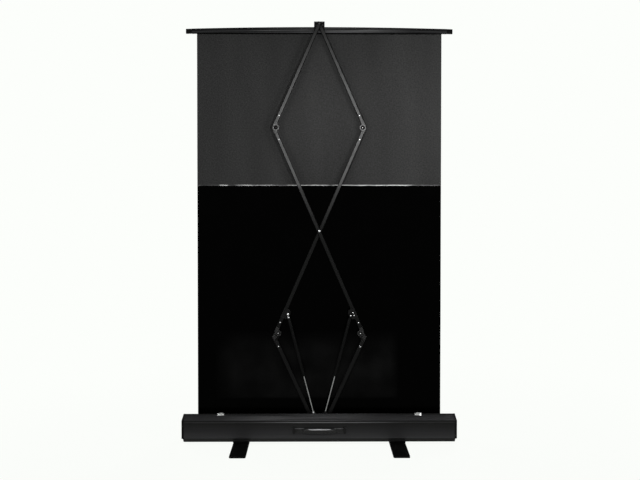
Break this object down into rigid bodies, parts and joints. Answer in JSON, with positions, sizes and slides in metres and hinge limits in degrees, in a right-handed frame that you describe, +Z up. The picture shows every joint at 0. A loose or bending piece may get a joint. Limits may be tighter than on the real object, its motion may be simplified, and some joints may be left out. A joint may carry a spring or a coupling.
{
  "type": "floor-rising projection screen",
  "caption": "Projection screen that rises from a floor case: a scissor frame with gas struts lifts the top bar and unwinds the sheet from a sprung roller.",
  "frame": {"origin": "on the floor under the middle of the case, at the bottom centre of the whole object", "axes": "+Z up, +X along the case to the right when seen from behind, -Y towards the viewer of the picture, who sees the back; the audience is on +Y"},
  "size_m": [1.294, 0.5, 1.996],
  "materials": {
    "case_aluminium": "black anodised extrusion, satin",
    "batten_aluminium": "dark grey anodised, satin",
    "roller_aluminium": "mill finish",
    "arm_tube": "black powder coat on aluminium tube, satin",
    "knuckle": "black coated die casting",
    "foot_bar": "black powder coat, satin",
    "black_steel": "black paint on steel, satin",
    "bright_steel": "zinc plated",
    "chrome_plate": "chrome plated, bright",
    "moulded_black": "moulded, fine texture",
    "grip_rubber": "moulded rubber, satin",
    "sheet_back": "grained vinyl back, matte",
    "drop_back": "glossy black vinyl"
  },
  "bodies": {
    "root": {"case_rear_shell": "case_aluminium", "case_front_cover": "case_aluminium", "end_cap_left": "moulded_black", "end_cap_right": "moulded_black", "roller_bearing_left": "moulded_black", "roller_bearing_right": "moulded_black", "foot_mount_left": "moulded_black", "foot_mount_right": "moulded_black", "foot_bolt_left": "bright_steel", "foot_bolt_right": "bright_steel", "catch_plate_left": "chrome_plate", "catch_plate_right": "chrome_plate", "handle_cap_left": "moulded_black", "handle_cap_right": "moulded_black", "return_spring": "bright_steel", "viewing_sheet": "sheet_back", "black_drop": "drop_back", "base_bracket": "black_steel", "base_pivot_pin": "bright_steel"},
    "lower_right": {"lower_arm_right": "arm_tube", "lower_arm_right_knuckle": "knuckle"},
    "lower_left": {"lower_arm_left": "arm_tube", "lower_arm_left_knuckle": "knuckle"},
    "cross_front": {"cross_arm_front": "arm_tube", "cross_arm_front_lower_knuckle": "knuckle", "cross_arm_front_upper_knuckle": "knuckle", "lower_elbow_pin_right": "bright_steel", "upper_elbow_pin_left": "bright_steel", "strut_lug_right": "black_steel", "centre_pin": "bright_steel"},
    "cross_back": {"cross_arm_back": "arm_tube", "cross_arm_back_lower_knuckle": "knuckle", "cross_arm_back_upper_knuckle": "knuckle", "lower_elbow_pin_left": "bright_steel", "upper_elbow_pin_right": "bright_steel", "strut_lug_left": "black_steel"},
    "upper_left": {"upper_arm_left": "arm_tube", "upper_arm_left_knuckle": "knuckle"},
    "upper_right": {"upper_arm_right": "arm_tube", "upper_arm_right_knuckle": "knuckle"},
    "top": {"top_bar": "case_aluminium", "top_bar_cap_left": "moulded_black", "top_bar_cap_right": "moulded_black", "hem_batten": "batten_aluminium", "top_bracket": "black_steel", "top_pin": "bright_steel"},
    "strut_rod_right": {"gas_strut_rod_right": "bright_steel"},
    "strut_rod_left": {"gas_strut_rod_left": "bright_steel"},
    "strut_tube_right": {"gas_strut_tube_right": "black_steel"},
    "strut_tube_left": {"gas_strut_tube_left": "black_steel"},
    "roller": {"roller_tube": "roller_aluminium", "fabric_wrap": "drop_back"},
    "handle": {"handle_grip": "grip_rubber"},
    "strap_right": {"handle_strap_right": "grip_rubber"},
    "strap_left": {"handle_strap_left": "grip_rubber"},
    "catch_right": {"catch_hook_right": "chrome_plate"},
    "catch_left": {"catch_hook_left": "chrome_plate"},
    "foot_bar_right": {"foot_right": "foot_bar"},
    "foot_bar_left": {"foot_left": "foot_bar"}
  },
  "joints": [
    {"name": "fold", "type": "hinge", "parent": "root", "child": "lower_right", "pos_m": [0, 0, 0.0316], "axis": [0, 1, 0], "range_deg": [0, 63.3], "stiffness_Nm_per_rad": 27, "springref_deg": -53.29, "deforming": ["viewing_sheet", "black_drop"]},
    {"name": "fold_lower_left", "type": "hinge", "parent": "root", "child": "lower_left", "pos_m": [0, 0, 0.0316], "axis": [0, 1, 0], "range_deg": [-63.8, 0]},
    {"name": "elbow_lower_right", "type": "hinge", "parent": "lower_right", "child": "cross_front", "pos_m": [0.1953, 0, 0.51817], "axis": [0, 1, 0], "range_deg": [-127.6, 0]},
    {"name": "elbow_lower_left", "type": "hinge", "parent": "lower_left", "child": "cross_back", "pos_m": [-0.1953, 0, 0.51817], "axis": [0, 1, 0], "range_deg": [0, 127.6]},
    {"name": "elbow_upper_left", "type": "hinge", "parent": "cross_front", "child": "upper_left", "pos_m": [-0.20556, 0, 1.49422], "axis": [0, 1, 0], "range_deg": [0, 127.6]},
    {"name": "elbow_upper_right", "type": "hinge", "parent": "cross_back", "child": "upper_right", "pos_m": [0.20556, 0, 1.49422], "axis": [0, 1, 0], "range_deg": [-127.6, 0]},
    {"name": "bar_level", "type": "hinge", "parent": "upper_left", "child": "top", "pos_m": [0, 0, 1.98371], "axis": [0, 1, 0], "range_deg": [-63.8, 0]},
    {"name": "strut_swing_right", "type": "hinge", "parent": "root", "child": "strut_rod_right", "pos_m": [0.026, 0, 0.138], "axis": [0, 1, 0], "range_deg": [0, 85.4]},
    {"name": "strut_swing_left", "type": "hinge", "parent": "root", "child": "strut_rod_left", "pos_m": [-0.026, 0, 0.138], "axis": [0, 1, 0], "range_deg": [-85.4, 0]},
    {"name": "strut_slide_right", "type": "slide", "parent": "strut_rod_right", "child": "strut_tube_right", "axis": [-0.2516, 0, -0.9678], "range_m": [0, 0.0853]},
    {"name": "strut_slide_left", "type": "slide", "parent": "strut_rod_left", "child": "strut_tube_left", "axis": [0.2516, 0, -0.9678], "range_m": [0, 0.0853]},
    {"name": "roller_spin", "type": "hinge", "parent": "root", "child": "roller", "pos_m": [0, 0.0356, 0.07], "axis": [1, 0, 0], "range_deg": [0, 4913]},
    {"name": "handle_lift", "type": "slide", "parent": "root", "child": "handle", "axis": [0, -1, 0], "range_m": [0, 0.014], "stiffness_N_per_m": 400},
    {"name": "strap_turn_right", "type": "hinge", "parent": "handle", "child": "strap_right", "pos_m": [0.073, -0.0681, 0.071], "axis": [0, 0, 1], "range_deg": [0, 17]},
    {"name": "strap_turn_left", "type": "hinge", "parent": "handle", "child": "strap_left", "pos_m": [-0.073, -0.0681, 0.071], "axis": [0, 0, 1], "range_deg": [-17, 0]},
    {"name": "catch_swing_right", "type": "hinge", "parent": "root", "child": "catch_right", "pos_m": [0.469, -0.035, 0.1388], "axis": [1, 0, 0], "range_deg": [0, 90]},
    {"name": "catch_swing_left", "type": "hinge", "parent": "root", "child": "catch_left", "pos_m": [-0.469, -0.035, 0.1388], "axis": [1, 0, 0], "range_deg": [0, 90]},
    {"name": "foot_swivel_right", "type": "hinge", "parent": "root", "child": "foot_bar_right", "pos_m": [0.368, 0, 0.004], "axis": [0, 0, 1], "range_deg": [-90, 0]},
    {"name": "foot_swivel_left", "type": "hinge", "parent": "root", "child": "foot_bar_left", "pos_m": [-0.368, 0, 0.004], "axis": [0, 0, 1], "range_deg": [0, 90]}
  ],
  "couplings": [
    {"joint": "fold_lower_left", "follows": "fold", "ratio": -1},
    {"joint": "elbow_lower_right", "follows": "fold", "ratio": -2},
    {"joint": "elbow_lower_left", "follows": "fold", "ratio": 2},
    {"joint": "elbow_upper_left", "follows": "fold", "ratio": 2},
    {"joint": "elbow_upper_right", "follows": "fold", "ratio": -2},
    {"joint": "bar_level", "follows": "fold", "ratio": -1},
    {"joint": "strut_swing_right", "follows": "fold", "ratio": 1.3376},
    {"joint": "strut_swing_left", "follows": "fold", "ratio": -1.3376},
    {"joint": "strut_slide_right", "follows": "fold", "m_per_rad": 0.076544},
    {"joint": "strut_slide_left", "follows": "fold", "m_per_rad": 0.076544},
    {"joint": "roller_spin", "follows": "fold", "ratio": 77},
    {"joint": "strap_turn_right", "follows": "handle_lift", "rad_per_m": 20.7},
    {"joint": "strap_turn_left", "follows": "handle_lift", "rad_per_m": -20.7}
  ]
}
